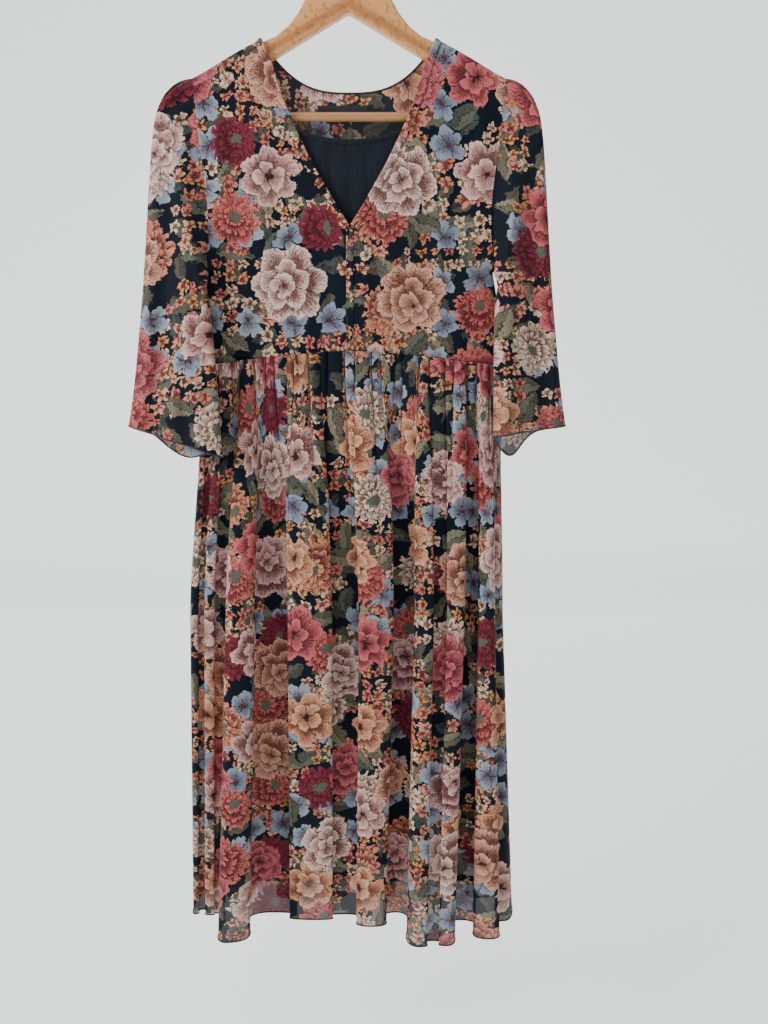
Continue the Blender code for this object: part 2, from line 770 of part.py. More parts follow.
build_hanger()
build_hook()
build_bodice()
build_trim()
build_slip()
build_sleeves()
build_skirt()
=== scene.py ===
import math

import bpy
import numpy as np
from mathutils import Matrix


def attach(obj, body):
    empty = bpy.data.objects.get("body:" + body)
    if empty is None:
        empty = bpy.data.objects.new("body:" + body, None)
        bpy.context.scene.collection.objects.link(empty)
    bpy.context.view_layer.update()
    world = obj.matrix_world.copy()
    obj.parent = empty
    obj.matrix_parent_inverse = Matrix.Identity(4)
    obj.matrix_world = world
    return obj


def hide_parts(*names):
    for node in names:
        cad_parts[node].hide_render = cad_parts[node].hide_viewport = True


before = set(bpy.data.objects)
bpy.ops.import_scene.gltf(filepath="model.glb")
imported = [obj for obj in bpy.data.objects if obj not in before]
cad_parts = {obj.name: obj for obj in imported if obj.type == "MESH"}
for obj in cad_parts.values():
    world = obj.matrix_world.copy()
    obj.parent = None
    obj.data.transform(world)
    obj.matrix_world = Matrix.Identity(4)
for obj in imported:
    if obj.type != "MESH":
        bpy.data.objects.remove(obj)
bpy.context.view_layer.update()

# Camera, floor, backdrop and light.
# The dress is seen from a little above its waist, tipped down by ten degrees, against a
# pale wall, which the sheer cloth lets through.
camera_data = bpy.data.cameras.new("view")
camera_data.lens = 27.04
camera_data.sensor_width = 36.0
camera = bpy.data.objects.new("view", camera_data)
camera.location = (0.0431, -1.03, -0.540)
camera.rotation_euler = (math.radians(90 - 10.2), 0.0, 0.0)
bpy.context.scene.collection.objects.link(camera)
bpy.context.scene.camera = camera

FLOOR_Z = -1.62
WALL_Y = 2.60
backdrop_profile = [(-4.0, FLOOR_Z), (WALL_Y - 0.30, FLOOR_Z)]
for step in range(1, 13):
    turn = math.radians(90 * step / 12)
    backdrop_profile.append((
        WALL_Y - 0.30 + 0.30 * math.sin(turn),
        FLOOR_Z + 0.30 - 0.30 * math.cos(turn),
    ))
backdrop_profile.append((WALL_Y, 2.4))
backdrop_mesh = bpy.data.meshes.new("backdrop")
backdrop_mesh.from_pydata(
    [(side * 4.0, y, z) for y, z in backdrop_profile for side in (-1, 1)],
    [],
    [(2 * i, 2 * i + 1, 2 * i + 3, 2 * i + 2) for i in range(len(backdrop_profile) - 1)],
)
backdrop_mesh.shade_smooth()
backdrop = bpy.data.objects.new("backdrop", backdrop_mesh)
bpy.context.scene.collection.objects.link(backdrop)
backdrop_paint = bpy.data.materials.new("pale_wall_paint")
backdrop_paint.use_nodes = True
backdrop_shader = backdrop_paint.node_tree.nodes["Principled BSDF"]
backdrop_shader.inputs["Base Color"].default_value = (0.60, 0.60, 0.60, 1.0)
backdrop_shader.inputs["Roughness"].default_value = 0.95
backdrop_shader.inputs["Specular IOR Level"].default_value = 0.1
backdrop_shader.inputs["Emission Color"].default_value = (0.97, 1.0, 1.0, 1.0)
backdrop_shader.inputs["Emission Strength"].default_value = 1.08
backdrop_mesh.materials.append(backdrop_paint)

for name, place, turn, width, power in (
    ("window", (-2.0, -1.0, 0.5), (68, 0, -60), 0.9, 70),
    ("room", (1.7, -1.5, 0.2), (72, 0, 48), 1.8, 5),
    ("ceiling", (0.0, -0.8, 1.6), (24, 0, 0), 1.4, 20),
):
    lamp_data = bpy.data.lights.new(name, "AREA")
    lamp_data.size = width
    lamp_data.energy = power
    lamp = bpy.data.objects.new(name, lamp_data)
    lamp.location = place
    lamp.rotation_euler = [math.radians(angle) for angle in turn]
    bpy.context.scene.collection.objects.link(lamp)
world = bpy.data.worlds.new("room_light")
world.use_nodes = True
world.node_tree.nodes["Background"].inputs["Color"].default_value = (0.93, 0.96, 1.0, 1.0)
world.node_tree.nodes["Background"].inputs["Strength"].default_value = 0.24
bpy.context.scene.world = world


# Printed chiffon, the cloth of the whole dress.
# A thin, matt, sheer weave with a dark navy ground, covered in drawn blossoms: big peonies,
# many-petalled daisies, blue five-petal flowers, sprays of small blossoms, and sage leaves.
def linear(red, green, blue):
    """Screen colour from 0 to 255, as a shader colour."""
    return tuple(
        ((part / 255 + 0.055) / 1.055) ** 2.4 if part > 10 else part / 255 / 12.92
        for part in (red, green, blue)
    ) + (1.0,)


class Signal:
    """One output of a material's nodes. Sums written on it add the Math nodes."""

    def __init__(self, tree, socket=None):
        self.tree = tree
        self.socket = socket

    def node(self, kind, settings=None, sockets=None, output=0):
        made = self.tree.nodes.new("ShaderNode" + kind)
        for name, value in (settings or {}).items():
            if name == "stops":
                stops = made.color_ramp.elements
                while len(stops) > 1:
                    stops.remove(stops[-1])
                for index, (place, colour) in enumerate(value):
                    stop = stops[0] if index == 0 else stops.new(place)
                    stop.position = place
                    stop.color = colour
            elif name == "spread":
                made.color_ramp.interpolation = value
            else:
                setattr(made, name, value)
        for place, value in (sockets or {}).items():
            if isinstance(value, Signal):
                self.tree.links.new(value.socket, made.inputs[place])
            else:
                made.inputs[place].default_value = value
        return Signal(self.tree, made.outputs[output])

    def beside(self, output):
        return Signal(self.tree, self.socket.node.outputs[output])

    def maths(self, operation, *others):
        return self.node("Math", {"operation": operation}, dict(enumerate((self,) + others)))

    def vector(self, operation, other, output=0):
        return self.node("VectorMath", {"operation": operation}, {0: self, 1: other}, output)

    def feed(self, socket):
        self.tree.links.new(self.socket, socket)

    def __add__(self, other):
        return self.maths("ADD", other)

    def __radd__(self, other):
        return self.maths("ADD", other)

    def __sub__(self, other):
        return self.maths("SUBTRACT", other)

    def __rsub__(self, other):
        return Signal(self.tree, self.socket).maths("MULTIPLY_ADD", -1.0, other)

    def __mul__(self, other):
        return self.maths("MULTIPLY", other)

    def __rmul__(self, other):
        return self.maths("MULTIPLY", other)

    def __truediv__(self, other):
        return self.maths("DIVIDE", other)

    def __pow__(self, other):
        return self.maths("POWER", other)

    def __lt__(self, other):
        return self.maths("LESS_THAN", other)

    def __gt__(self, other):
        return self.maths("GREATER_THAN", other)

    def __abs__(self):
        return self.maths("ABSOLUTE")


def painted(under, over, mask):
    """One colour laid over another where the mask is 1."""
    return mask.node("Mix", {"data_type": "RGBA"}, {0: mask, 6: under, 7: over}, 2)


def chosen(under, over, mask):
    return mask.node("Mix", {"data_type": "FLOAT"}, {0: mask, 2: under, 3: over}, 0)


INK_LINE = 0.00075
INK = linear(40, 20, 26)


def scattered(plane, cell, jitter, shift):
    """Place within the nearest motif of a scattered set, its lot of chances, and its middle."""
    moved = plane.vector("ADD", shift)
    middle = moved.node(
        "TexVoronoi",
        {"voronoi_dimensions": "2D"},
        {"Vector": moved, "Scale": 1 / cell, "Randomness": jitter},
        "Position",
    )
    lot = middle.node("SeparateColor", {}, {0: middle.beside("Color")})
    away = middle.node("SeparateXYZ", {}, {0: moved.vector("SUBTRACT", middle)})
    return away, away.beside("Y"), lot, middle


def from_set(lot, colours):
    stops = [(index / len(colours), colour) for index, colour in enumerate(colours)]
    return lot.node("ValToRGB", {"spread": "CONSTANT", "stops": stops}, {"Fac": lot})


def leaf_layer(plane, under, cell, jitter, shift, length, width, colours, kept):
    """Pointed leaves with a midrib and side veins, one half of each in shade."""
    x, y, lot, middle = scattered(plane, cell, jitter, shift)
    turn = lot * 6.283
    cosine = turn.maths("COSINE")
    sine = turn.maths("SINE")
    along = x * cosine + y * sine
    across = y * cosine - x * sine
    share = along / length
    half = (1 - share * share) * (1 - 0.4 * share) * width
    side = abs(across)
    vein = ((along - side * 1.2) / 0.0052).maths("FRACT") < 0.16
    rib = side < 0.00055
    colour = from_set(lot.beside("Green"), colours)
    shaded = painted(colour, linear(46, 50, 46), (across > 0.0) * 0.5)
    lines = vein.maths("MAXIMUM", rib).maths("MAXIMUM", side > half - INK_LINE)
    drawn = painted(shaded, linear(26, 26, 28), lines * 0.85)
    inside = (side < half) * (lot.beside("Blue") < kept)
    return painted(under, drawn, inside)


def blossom_layer(plane, under, cell, jitter, shift, rings, heart, petals, tips, strokes, kept, sprays=None):
    """Drawn blossoms: each ring of petals lies inside the one before it, a little off its middle."""
    x, y, lot, middle = scattered(plane, cell, jitter, shift)
    size = lot.beside("Green") * 0.22 + 0.86
    spin = lot * 6.283
    slip_x = (lot.beside("Green") - 0.5) * (cell * 0.075)
    slip_y = (lot.beside("Blue") - 0.5) * (cell * 0.075)
    outline = None
    for index, (count, reach, dip, turn) in enumerate(rings):
        ring_x = x + slip_x * index if index else x
        ring_y = y + slip_y * index if index else y
        radius = (ring_x * ring_x + ring_y * ring_y) ** 0.5 / size
        angle = ring_y.maths("ARCTAN2", ring_x) + spin
        swing = abs((angle * (count / 2) + turn).maths("SINE"))
        edge = reach - swing ** 4 * (reach * dip)
        inside = radius < edge
        between = radius * radius * (1 - swing) < (count * INK_LINE) ** 2 / 7
        ink = between.maths("MAXIMUM", radius > edge - INK_LINE)
        hidden = rings[index + 1][1] / reach * 0.94 if index + 1 < len(rings) else 0.0
        share = ((radius / edge - hidden) / (1 - hidden)).maths("MAXIMUM", 0.0).maths("MINIMUM", 1.0)
        if outline is None:
            outline = inside
            line = ink
            tone = share
        else:
            line = chosen(line, ink, inside)
            tone = chosen(tone, share, inside)
    number, length = strokes
    drawn_stroke = (angle * number + swing * 5 + radius * 90).maths("SINE") > tone * (2.0 / length) - 0.7
    colour = painted(
        from_set(lot.beside("Blue"), petals),
        from_set(lot.beside("Blue"), tips),
        tone,
    )
    base = painted(colour, linear(84, 36, 42), (1 - tone) ** 1.5 * 0.66)
    drawn = painted(base, INK, drawn_stroke * 0.62)
    drawn = painted(drawn, INK, line * 0.82)
    if heart:
        heart_size, heart_colour = heart
        speck = (angle * 9 + radius * 2600).maths("SINE") > 0.35
        dotted = speck.node(
            "Mix", {"data_type": "RGBA"}, {0: speck * 0.6, 6: heart_colour, 7: INK}, 2
        )
        drawn = painted(drawn, dotted, radius < heart_size)
    shown = outline
    if sprays:
        scale, level = sprays
        field = middle.node(
            "TexNoise",
            {"noise_dimensions": "2D"},
            {"Vector": middle, "Scale": scale, "Detail": 0.0},
        )
        shown = shown * (field > level)
    if kept < 1:
        shown = shown * (lot.beside("Red").maths("FRACT") < kept)
    return painted(under, drawn, shown)


SAGE = [linear(118, 114, 94), linear(104, 102, 86), linear(128, 120, 98), linear(92, 94, 82)]
SHADED_SAGE = [linear(82, 80, 68), linear(92, 86, 70), linear(66, 72, 68)]


def chiffon(name, sheer, shift):
    """The print, on cloth whose flat place in metres is kept in its cloth map."""
    material = bpy.data.materials.new(name)
    material.use_nodes = True
    tree = material.node_tree
    shader = tree.nodes["Principled BSDF"]
    start = Signal(tree)
    flat = start.node("UVMap", {"uv_map": "cloth"}).vector("ADD", shift)
    wobble = flat.node(
        "TexNoise",
        {"noise_dimensions": "2D"},
        {"Vector": flat, "Scale": 46.0, "Detail": 3.0, "Roughness": 0.62},
        "Color",
    )
    swayed = wobble.vector("SUBTRACT", (0.5, 0.5, 0.5)).vector("MULTIPLY", (0.018, 0.018, 0.0))
    ragged = flat.node(
        "TexNoise",
        {"noise_dimensions": "2D"},
        {"Vector": flat, "Scale": 230.0, "Detail": 1.0},
        "Color",
    ).vector("SUBTRACT", (0.5, 0.5, 0.5)).vector("MULTIPLY", (0.0046, 0.0046, 0.0))
    plane = swayed.vector("ADD", flat).vector("ADD", ragged)
    print_colour = start.node("RGB")
    print_colour.socket.default_value = linear(9, 20, 31)
    print_colour = leaf_layer(
        plane, print_colour, 0.043, 0.5, (0.31, 0.12, 0.0), 0.020, 0.0085, SHADED_SAGE, 0.95)
    print_colour = leaf_layer(
        plane, print_colour, 0.054, 0.5, (0.77, 0.41, 0.0), 0.025, 0.0105, SAGE, 0.9)
    print_colour = blossom_layer(
        plane, print_colour, 0.0165, 0.25, (0.18, 0.95, 0.0),
        [(5, 0.0078, 0.42, 0.3)], (0.0015, linear(90, 50, 45)),
        [linear(194, 116, 74), linear(204, 152, 118), linear(182, 94, 80)],
        [linear(212, 146, 98), linear(216, 182, 150), linear(204, 122, 104)],
        (5, 0.5), 1.0, (17.0, 0.52))
    print_colour = blossom_layer(
        plane, print_colour, 0.0205, 0.3, (0.52, 0.66, 0.0),
        [(5, 0.0092, 0.4, 0.3)], (0.0018, linear(110, 60, 50)),
        [linear(200, 130, 100), linear(190, 104, 88), linear(200, 164, 134)],
        [linear(216, 158, 130), linear(206, 132, 112), linear(220, 192, 164)],
        (5, 0.55), 1.0, (13.0, 0.56))
    print_colour = blossom_layer(
        plane, print_colour, 0.052, 0.25, (0.09, 0.27, 0.0),
        [(5, 0.0215, 0.30, 0.3)], (0.0022, linear(80, 44, 60)),
        [linear(118, 130, 146), linear(106, 120, 140)],
        [linear(146, 156, 168), linear(132, 144, 160)],
        (35, 0.8), 1.0, (8.5, 0.52))
    print_colour = leaf_layer(
        plane, print_colour, 0.088, 0.5, (0.15, 0.55, 0.0), 0.026, 0.0110, SAGE, 0.6)
    print_colour = blossom_layer(
        plane, print_colour, 0.104, 0.3, (0.63, 0.05, 0.0),
        [(17, 0.0345, 0.22, 0.3), (15, 0.0245, 0.24, 0.9), (11, 0.0150, 0.26, 0.1)],
        (0.0070, linear(92, 98, 86)),
        [linear(176, 82, 76), linear(104, 32, 46), linear(196, 162, 136), linear(188, 108, 82)],
        [linear(196, 106, 98), linear(130, 46, 60), linear(222, 196, 176), linear(208, 140, 114)],
        (51, 0.8), 0.80)
    print_colour = blossom_layer(
        plane, print_colour, 0.125, 0.3, (0.42, 0.81, 0.0),
        [(6, 0.0400, 0.24, 0.3), (5, 0.0230, 0.28, 1.1)],
        (0.0046, linear(50, 32, 34)),
        [linear(196, 126, 88), linear(168, 72, 78), linear(188, 132, 120)],
        [linear(212, 160, 128), linear(196, 104, 104), linear(216, 176, 166)],
        (58, 1.0), 0.74)
    print_colour = blossom_layer(
        plane, print_colour, 0.142, 0.35, (0.87, 0.33, 0.0),
        [(6, 0.0455, 0.18, 0.3), (5, 0.0310, 0.22, 1.3), (4, 0.0160, 0.26, 0.5)],
        None,
        [linear(190, 132, 128), linear(166, 72, 80), linear(194, 144, 130), linear(196, 132, 104)],
        [linear(224, 184, 178), linear(196, 108, 112), linear(228, 198, 186), linear(216, 166, 142)],
        (64, 1.1), 0.80)
    grain = flat.node(
        "TexNoise", {"noise_dimensions": "2D"}, {"Vector": flat, "Scale": 900.0, "Detail": 2.0})
    worn = flat.node(
        "TexNoise", {"noise_dimensions": "2D"}, {"Vector": flat, "Scale": 6.0, "Detail": 2.0})
    greyed = painted(print_colour, linear(84, 72, 74), worn * 0.06)
    greyed.feed(shader.inputs["Base Color"])
    bump = grain.node("Bump", {}, {"Strength": 0.25, "Distance": 0.0004, "Height": grain})
    bump.feed(shader.inputs["Normal"])
    shader.inputs["Roughness"].default_value = 0.82
    shader.inputs["Specular IOR Level"].default_value = 0.06
    shader.inputs["Sheen Weight"].default_value = 0.03
    shader.inputs["Sheen Roughness"].default_value = 0.5
    shader.inputs["Alpha"].default_value = sheer
    return material


CHIFFON = chiffon("printed_chiffon", 0.96, (0.0, 0.0, 0.0))
DOUBLED_CHIFFON = chiffon("printed_chiffon_double", 0.99, (0.0, 0.0, 0.0))


# Bodice: two fronts that meet at the centre strip, and one back.
# Cut in single chiffon, joined at the shoulders and sides, hung over the hanger's arms.
def blend(first, second, share):
    return first + (second - first) * share


def ease(share):
    share = np.clip(share, 0.0, 1.0)
    return share * share * (3 - 2 * share)


def round_off(share):
    """0 at an edge, 1 a little inside it, with a full round corner between."""
    share = np.clip(share, 0.0, 1.0)
    return (1 - (1 - share) ** 4) ** 0.25


def through(knots, values, place):
    """Smooth curve through values given at rising or falling knots."""
    knots = np.asarray(knots, float)
    values = np.asarray(values, float)
    place = np.asarray(place, float)
    if knots[0] > knots[-1]:
        knots = -knots
        place = -place
    place = np.clip(place, knots[0], knots[-1])
    index = np.clip(np.searchsorted(knots, place) - 1, 0, len(knots) - 2)
    low = np.maximum(index - 1, 0)
    high = np.minimum(index + 2, len(knots) - 1)
    span = knots[index + 1] - knots[index]
    share = (place - knots[index]) / span
    leaving = (values[index + 1] - values[low]) / (knots[index + 1] - knots[low]) * span
    arriving = (values[high] - values[index]) / (knots[high] - knots[index]) * span
    return (
        (2 * share ** 3 - 3 * share ** 2 + 1) * values[index]
        + (share ** 3 - 2 * share ** 2 + share) * leaving
        + (3 * share ** 2 - 2 * share ** 3) * values[index + 1]
        + (share ** 3 - share ** 2) * arriving
    )


def creased(x, z, creases):
    """Soft ridges and hollows, each from one spot to another, fading at its ends."""
    total = np.zeros_like(x)
    for first_x, first_z, last_x, last_z, depth, width in creases:
        run_x = last_x - first_x
        run_z = last_z - first_z
        along = ((x - first_x) * run_x + (z - first_z) * run_z) / (run_x ** 2 + run_z ** 2)
        along = np.clip(along, 0.0, 1.0)
        away = np.hypot(x - first_x - along * run_x, z - first_z - along * run_z)
        total += depth * np.exp(-(away / width) ** 2) * np.sin(np.pi * along) ** 0.6
    return total


def cloth(name, points, flat, material, closed=False):
    """A sheet from rows of points, with its flat place in metres kept as a map."""
    rows, columns = points.shape[:2]
    index = np.arange(rows * columns).reshape(rows, columns)
    if closed:
        index[:, -1] = index[:, 0]
    faces = np.stack([index[:-1, :-1], index[1:, :-1], index[1:, 1:], index[:-1, 1:]], axis=-1)
    map_places = np.stack([flat[:-1, :-1], flat[1:, :-1], flat[1:, 1:], flat[:-1, 1:]], axis=2)
    mesh = bpy.data.meshes.new(name)
    mesh.from_pydata(points.reshape(-1, 3).tolist(), [], faces.reshape(-1, 4).tolist())
    layer = mesh.uv_layers.new(name="cloth")
    layer.data.foreach_set("uv", map_places.reshape(-1).astype(np.float32))
    mesh.shade_smooth()
    mesh.materials.append(material)
    piece = bpy.data.objects.new(name, mesh)
    bpy.context.scene.collection.objects.link(piece)
    if closed:
        bpy.ops.object.select_all(action="DESELECT")
        piece.select_set(True)
        bpy.context.view_layer.objects.active = piece
        bpy.ops.object.mode_set(mode="EDIT")
        bpy.ops.mesh.select_all(action="SELECT")
        bpy.ops.mesh.delete_loose(use_verts=True, use_edges=False, use_faces=False)
        bpy.ops.object.mode_set(mode="OBJECT")
    return piece


def grid(x, y, z):
    return np.stack([x, y + 0 * x, z + 0 * x], axis=-1)


SEAM_GAP = 0.0003
NECK_POINT_X = 0.1060
SHOULDER_X = 0.192
V_POINT_Z = -0.3575
BACK_NECK_Z = -0.1960
UNDERARM_Z = -0.4105
WAIST_Z = -0.511
SHOULDER_LINE = ([0.106, 0.127, 0.15, 0.175, 0.192], [-0.1385, -0.1485, -0.1605, -0.1745, -0.183])
V_EDGE = (
    [0.0, 0.0165, 0.0315, 0.0455, 0.058, 0.069, 0.0785, 0.0865, 0.094, 0.106],
    [-0.3575, -0.332, -0.3065, -0.2825, -0.2585, -0.235, -0.2125, -0.19, -0.1655, -0.1385],
)
BODICE_EDGE = (
    [-0.183, -0.245, -0.29, -0.33, -0.37, -0.4105, -0.45, -0.5285],
    [0.192, 0.1885, 0.182, 0.178, 0.178, 0.183, 0.19, 0.197],
)
# Each crease: from x, z to x, z, how far it stands out, and its half width
FRONT_CREASES = [
    (-0.165, -0.205, -0.150, -0.380, 0.0030, 0.0090),
    (-0.120, -0.190, -0.105, -0.420, 0.0022, 0.0120),
    (-0.140, -0.330, -0.128, -0.505, 0.0026, 0.0100),
    (-0.092, -0.300, -0.085, -0.500, -0.0020, 0.0120),
    (-0.060, -0.350, -0.052, -0.505, 0.0022, 0.0090),
    (-0.028, -0.390, -0.024, -0.505, -0.0018, 0.0070),
    (0.024, -0.380, 0.020, -0.505, 0.0020, 0.0080),
    (0.058, -0.300, 0.050, -0.500, 0.0020, 0.0110),
    (0.098, -0.260, 0.092, -0.500, -0.0022, 0.0110),
    (0.128, -0.210, 0.116, -0.450, 0.0026, 0.0110),
    (0.168, -0.210, 0.156, -0.400, 0.0032, 0.0085),
    (0.150, -0.360, 0.140, -0.505, 0.0024, 0.0090),
]
BACK_CREASES = [
    (-0.150, -0.200, -0.140, -0.470, 0.0028, 0.0110),
    (-0.095, -0.230, -0.088, -0.500, -0.0024, 0.0130),
    (-0.040, -0.280, -0.046, -0.505, 0.0024, 0.0110),
    (0.012, -0.260, 0.008, -0.500, -0.0022, 0.0120),
    (0.062, -0.240, 0.066, -0.500, 0.0026, 0.0110),
    (0.112, -0.220, 0.104, -0.490, -0.0020, 0.0100),
    (0.155, -0.200, 0.146, -0.480, 0.0030, 0.0100),
]


def waist_height(x):
    return WAIST_Z - 0.0175 * (np.abs(x) / 0.18) ** 1.4


def body_depth(z):
    return blend(0.0100, 0.0200, ease((-0.20 - z) / 0.30))


def front_top(place):
    return np.where(
        place <= NECK_POINT_X, through(*V_EDGE, place), through(*SHOULDER_LINE, place))


def back_top(place):
    neck = blend(BACK_NECK_Z, SHOULDER_LINE[1][0], (np.abs(place) / NECK_POINT_X) ** 2.8)
    return np.where(place <= NECK_POINT_X, neck, through(*SHOULDER_LINE, place))


def bodice_point(across, z, top_z, facing, creases, wrap=True):
    """A point of the front (facing -1) or the back (1)."""
    place = np.abs(across)
    edge = through(*BODICE_EDGE, z)
    x = place + (edge - SHOULDER_X) * (place / SHOULDER_X) ** 3
    fade = ease((-0.23 - z) / 0.10) * ease((z + 0.52) / 0.06)
    depth = body_depth(z) - 0.0022 * fade * np.cos(46 * across + 9 * z) * np.cos(20 * across)
    side_x = np.sign(across) * x
    depth = depth + creased(side_x, z, creases) * ease((top_z - z) / 0.03)
    closing = 1 - round_off((z - UNDERARM_Z) / 0.045)
    depth = depth * (1 - closing * (1 - round_off(1 - np.minimum(x / edge, 1.0))))
    if wrap:
        over_shoulder = ease((place / NECK_POINT_X - 1) / 0.015)
        depth = depth * (1 - over_shoulder * (1 - round_off((top_z - z) / 0.007)))
    depth = np.maximum(depth, SEAM_GAP / 2)
    return grid(side_x, facing * depth, z)


def panel_rows(across, top_z, low_z, count):
    share = (np.arange(count) / (count - 1))[:, None] ** 1.35
    return blend(top_z[None, :], low_z[None, :], share), np.repeat(across[None, :], count, 0)


def panel_places(first, count):
    near_neck = np.linspace(NECK_POINT_X * 0.96, NECK_POINT_X * 1.03, 12)
    inner = np.linspace(first, near_neck[0], count)[:-1]
    outer = np.linspace(near_neck[-1], SHOULDER_X, count)[1:]
    return np.concatenate([inner, near_neck, outer])


PLACKET_WIDTH = 0.0090
BODICE_PIECES = {}
for name, side, first in (
    ("bodice_front_right_cloth", -1, PLACKET_WIDTH / 2 + SEAM_GAP),
    ("bodice_front_left_cloth", 1, 0.0),
):
    across = side * panel_places(first, 46)
    if side > 0:
        across = np.concatenate([[-PLACKET_WIDTH / 2], across])
    place = np.abs(across)
    z, spread = panel_rows(across, front_top(place), waist_height(across) + SEAM_GAP / 2, 130)
    top_z = np.repeat(front_top(place)[None, :], 130, 0)
    points = bodice_point(spread, z, top_z, -1, FRONT_CREASES)
    flat = np.stack([points[..., 0] + 0.06 * side, points[..., 2]], axis=-1)
    if side > 0:
        points = points[:, ::-1]
        flat = flat[:, ::-1]
    BODICE_PIECES[name] = cloth(name, points[:, ::-1], flat[:, ::-1], CHIFFON)

back_places = panel_places(0.0, 46)
across = np.concatenate([-back_places[:0:-1], back_places])
z, spread = panel_rows(across, back_top(np.abs(across)), waist_height(across) + SEAM_GAP / 2, 130)
top_z = np.repeat(back_top(np.abs(across))[None, :], 130, 0)
points = bodice_point(spread, z, top_z, 1, BACK_CREASES)
flat = np.stack([0.55 - points[..., 0], points[..., 2] + 0.13], axis=-1)
BODICE_PIECES["bodice_back_cloth"] = cloth(
    "bodice_back_cloth", points[:, ::-1], flat[:, ::-1], DOUBLED_CHIFFON)


# Neck bands, centre strip, back neck binding and label.
# Narrow strips of doubled chiffon, sewn on over the raw edges. The label is a bare woven tape.
TRIM_LIFT = 0.0012


def front_surface(across, z):
    top_z = front_top(np.abs(across))
    return bodice_point(across, z, top_z, -1, FRONT_CREASES)


def moved_out(across, z, distance):
    step = 0.0005
    here = front_surface(across, z)
    normal = np.cross(
        front_surface(across + step, z) - here, front_surface(across, z - step) - here)
    normal /= np.linalg.norm(normal, axis=-1, keepdims=True)
    normal *= np.where(normal[..., 1:2] > 0, -1.0, 1.0)
    return here + normal * distance


def strip(name, edge_x, edge_z, outer_x, outer_z, lift, shift, material):
    """A narrow band between two lines on the front, its long edges turned under."""
    shares = np.array([0.0, 0.0, 0.06, 0.2, 0.4, 0.6, 0.8, 0.94, 1.0, 1.0])
    raised = np.array([0.1, 0.75, 0.98, 1.0, 0.93, 0.93, 1.0, 0.98, 0.75, 0.1]) * lift
    x = blend(edge_x[:, None], outer_x[:, None], shares[None, :])
    z = blend(edge_z[:, None], outer_z[:, None], shares[None, :])
    points = moved_out(x, z, raised[None, :, None])
    flat = np.stack([x + shift[0], z + shift[1]], axis=-1)
    return cloth(name, points, flat, material)


def neck_band(name, side, last_z, lift, shift):
    z = np.linspace(SHOULDER_LINE[1][0] - 0.001, last_z, 90)
    knots_z = V_EDGE[1][::-1]
    knots_x = V_EDGE[0][::-1]
    edge_x = through(knots_z, knots_x, z)
    slope = through(knots_z, knots_x, z + 0.004) - through(knots_z, knots_x, z - 0.004)
    length = np.hypot(slope, 0.008)
    outer_x = edge_x + 0.008 / length * 0.0095
    outer_z = z - slope / length * 0.0095
    edge_x = np.maximum(edge_x, 0.0002)
    return strip(name, side * edge_x, z, side * outer_x, outer_z, lift, shift, DOUBLED_CHIFFON)


band_right = neck_band("neck_band_right_cloth", -1, V_POINT_Z - 0.0035, TRIM_LIFT * 1.5, (-0.056, 0.003))
band_left = neck_band("neck_band_left_cloth", 1, V_POINT_Z + 0.0005, TRIM_LIFT, (0.066, -0.004))

z = np.linspace(V_POINT_Z - 0.002, WAIST_Z + 0.0006, 60)
half = np.full_like(z, PLACKET_WIDTH / 2)
placket = strip(
    "front_strip_cloth", -half, z, half, z, TRIM_LIFT * 0.8, (0.062, 0.005), DOUBLED_CHIFFON)


def tape(name, colour, sheen):
    """Plain dark woven tape or thread, with its own fine ribs."""
    material = bpy.data.materials.new(name)
    material.use_nodes = True
    tree = material.node_tree
    shader = tree.nodes["Principled BSDF"]
    place = Signal(tree).node("TexCoord", {}, {}, "Object")
    ribs = place.node(
        "TexWave",
        {"wave_type": "BANDS", "bands_direction": "DIAGONAL"},
        {"Vector": place, "Scale": 420.0, "Distortion": 1.5, "Detail": 1.0},
        "Fac",
    )
    fleck = place.node("TexNoise", {}, {"Vector": place, "Scale": 260.0, "Detail": 2.0})
    paler = tuple(min(part * 2.1 + 0.004, 1.0) for part in colour[:3]) + (1.0,)
    painted(colour, paler, ribs * fleck).feed(shader.inputs["Base Color"])
    ribs.node("Bump", {}, {"Strength": 0.4, "Distance": 0.0003, "Height": ribs}).feed(
        shader.inputs["Normal"])
    shader.inputs["Roughness"].default_value = 0.8
    shader.inputs["Sheen Weight"].default_value = sheen
    return material


DARK_THREAD = tape("dark_thread", linear(34, 24, 28), 0.1)
LABEL_TAPE = tape("label_tape", linear(13, 13, 17), 0.02)


def rolled_edge(name, points, radius, material, round_trip=False):
    """A narrow rolled and overlocked edge along a line of points."""
    curve = bpy.data.curves.new(name, "CURVE")
    curve.dimensions = "3D"
    curve.bevel_depth = radius
    curve.bevel_resolution = 2
    curve.use_fill_caps = not round_trip
    line = curve.splines.new("POLY")
    line.points.add(len(points) - 1)
    line.points.foreach_set("co", np.c_[points, np.ones(len(points))].ravel())
    line.use_cyclic_u = round_trip
    curve.materials.append(material)
    piece = bpy.data.objects.new(name, curve)
    bpy.context.scene.collection.objects.link(piece)
    return piece


x = np.linspace(-0.1045, 0.1045, 121)
z = back_top(np.abs(x)) + 0.0011
y = bodice_point(x, z, z, 1, [], wrap=False)[..., 1]
binding = rolled_edge("back_neck_binding_cloth", np.stack([x, y, z], -1), 0.0012, DARK_THREAD)

